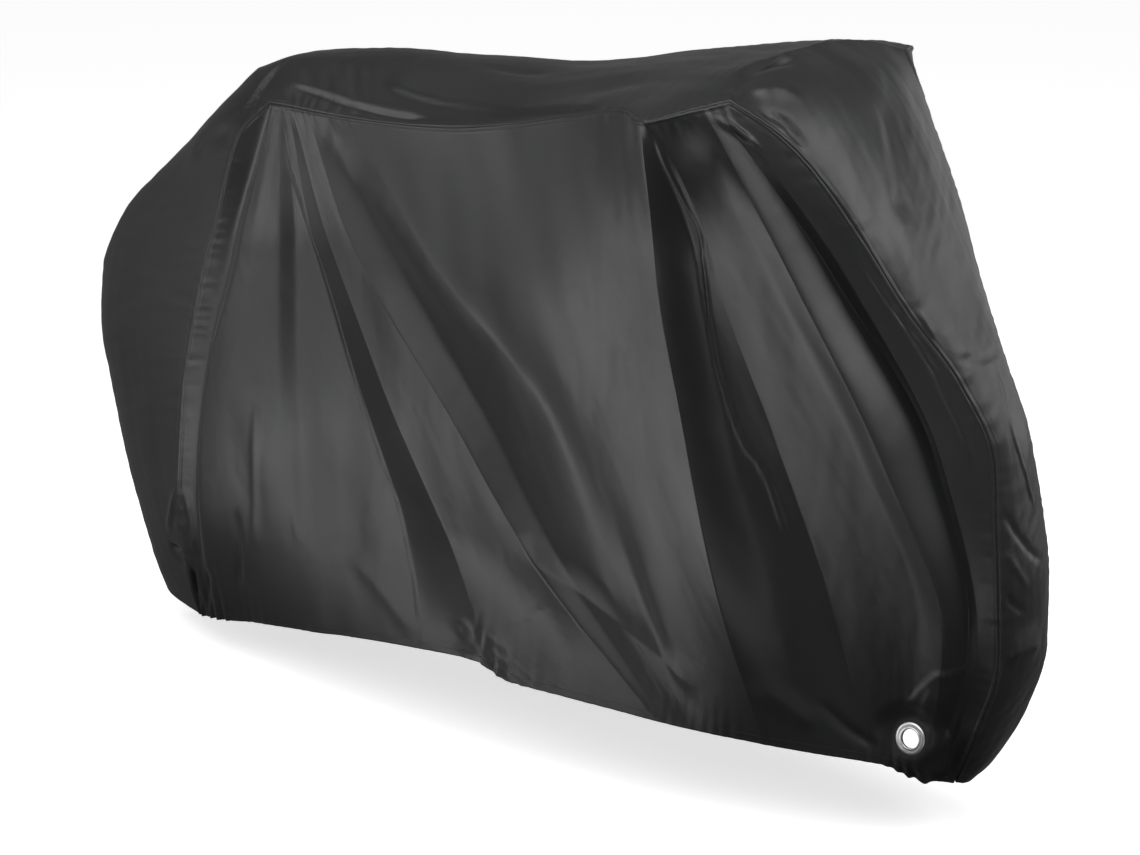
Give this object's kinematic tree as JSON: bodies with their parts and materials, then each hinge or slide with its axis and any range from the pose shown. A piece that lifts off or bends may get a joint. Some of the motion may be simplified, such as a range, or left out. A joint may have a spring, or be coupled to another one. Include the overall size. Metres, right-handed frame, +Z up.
{
  "type": "bicycle cover",
  "caption": "Fitted black nylon cover in the shape of the bicycle under it, hollow and open below, drawn in at the hem, with a metal lock eyelet near the front hem on each side.",
  "frame": {"origin": "where the underside of the cover's top lies on the saddle, on the cover's middle plane", "axes": "+X towards the front wheel, +Y to the far side, +Z up"},
  "size_m": [1.815, 0.7078, 1.0818],
  "materials": {
    "nylon_panel": "satin coated plain weave",
    "nylon_strip": "satin coated plain weave",
    "nylon_corner": "satin coated plain weave, doubled",
    "nickel": "bright nickel plate"
  },
  "bodies": {
    "root": {"near_side_panel": "nylon_panel", "far_side_panel": "nylon_panel", "top_and_rear_strip": "nylon_strip", "front_strip": "nylon_strip", "near_lock_corner": "nylon_corner", "far_lock_corner": "nylon_corner", "near_eyelet": "nickel", "far_eyelet": "nickel"}
  },
  "joints": []
}
